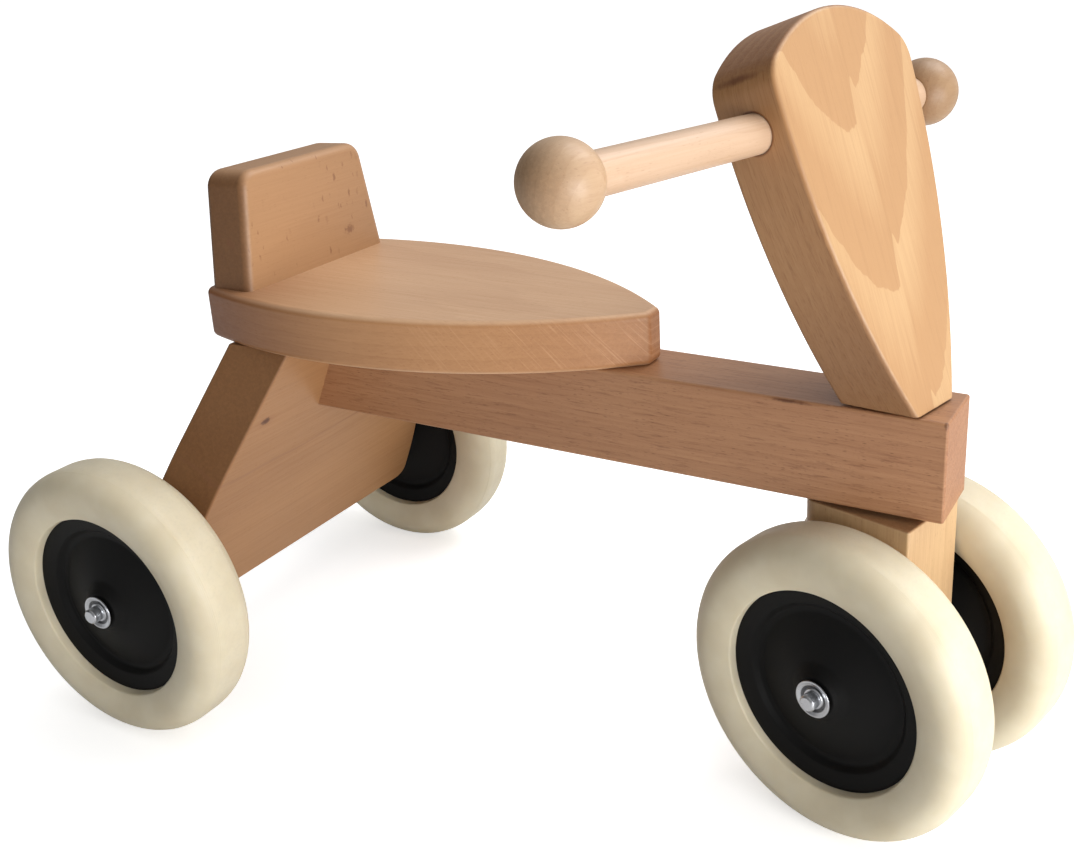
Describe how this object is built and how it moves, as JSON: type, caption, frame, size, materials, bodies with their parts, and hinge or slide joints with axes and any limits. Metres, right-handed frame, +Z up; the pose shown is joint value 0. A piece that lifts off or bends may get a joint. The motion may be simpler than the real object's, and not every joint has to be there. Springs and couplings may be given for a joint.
{
  "type": "children's ride-on",
  "caption": "Low wooden child's ride-on: a beech beam with seat and backrest, wide rear wheels, and a steered post with a dowel handlebar over close-set front wheels.",
  "frame": {"origin": "centre of the outer box at floor level", "axes": "+X forwards, +Y to the rider's left, +Z up"},
  "size_m": [0.5322, 0.307, 0.3708],
  "materials": {
    "beech_beam": "oiled beech, reddish brown, satin",
    "beech_seat": "oiled beech, warm tan, satin",
    "beech_backrest": "oiled beech, warm tan, satin",
    "beech_board": "oiled beech with darker side grain, satin",
    "beech_post": "light honey beech with cathedral figure, satin",
    "beech_block": "oiled beech, satin",
    "beech_bar": "pale raw beech dowel, fine sanded",
    "beech_balls": "pale raw beech, turned and sanded",
    "beech_pegs": "plain beech dowel, raw",
    "zinc": "bright zinc plated steel",
    "screw_steel": "zinc plated countersunk screws",
    "bush_nylon": "natural nylon bearing bush",
    "tyre_ivory": "cream solid rubber, satin, fine parting line",
    "hub_black": "black moulded plastic, satin"
  },
  "bodies": {
    "frame": {"main_beam": "beech_beam", "seat": "beech_seat", "backrest": "beech_backrest", "rear_board": "beech_board", "beam_dowels": "beech_pegs", "seat_dowels": "beech_pegs", "seat_screws": "screw_steel", "backrest_screws": "screw_steel", "rear_axle": "zinc", "rear_axle_caps": "zinc", "rear_washers": "zinc", "steering_bush_upper": "bush_nylon", "steering_bush_lower": "bush_nylon"},
    "steering": {"handlebar_post": "beech_post", "handlebar": "beech_bar", "grip_ball_left": "beech_balls", "grip_ball_right": "beech_balls", "axle_block": "beech_block", "steering_shaft": "beech_pegs", "steering_screws": "screw_steel", "front_axle": "zinc", "front_axle_caps": "zinc", "front_washers": "zinc"},
    "wheel_rear_left": {"tyre_rear_left": "tyre_ivory", "hub_rear_left": "hub_black"},
    "wheel_rear_right": {"tyre_rear_right": "tyre_ivory", "hub_rear_right": "hub_black"},
    "wheel_front_left": {"tyre_front_left": "tyre_ivory", "hub_front_left": "hub_black"},
    "wheel_front_right": {"tyre_front_right": "tyre_ivory", "hub_front_right": "hub_black"}
  },
  "joints": [
    {"name": "steering_turn", "type": "hinge", "parent": "frame", "child": "steering", "pos_m": [0.181, 0.009, 0.16], "axis": [0, 0, 1], "range_deg": [-25.5, 54.5]},
    {"name": "wheel_rear_left_spin", "type": "hinge", "parent": "frame", "child": "wheel_rear_left", "pos_m": [-0.192, 0.1295, 0.075], "axis": [0, 1, 0], "continuous": true},
    {"name": "wheel_rear_right_spin", "type": "hinge", "parent": "frame", "child": "wheel_rear_right", "pos_m": [-0.192, -0.1115, 0.075], "axis": [0, 1, 0], "continuous": true},
    {"name": "wheel_front_left_spin", "type": "hinge", "parent": "steering", "child": "wheel_front_left", "pos_m": [0.19104, 0.04782, 0.075], "axis": [0.2504, 0.9681, 0], "continuous": true},
    {"name": "wheel_front_right_spin", "type": "hinge", "parent": "steering", "child": "wheel_front_right", "pos_m": [0.17096, -0.02982, 0.075], "axis": [0.2504, 0.9681, 0], "continuous": true}
  ]
}
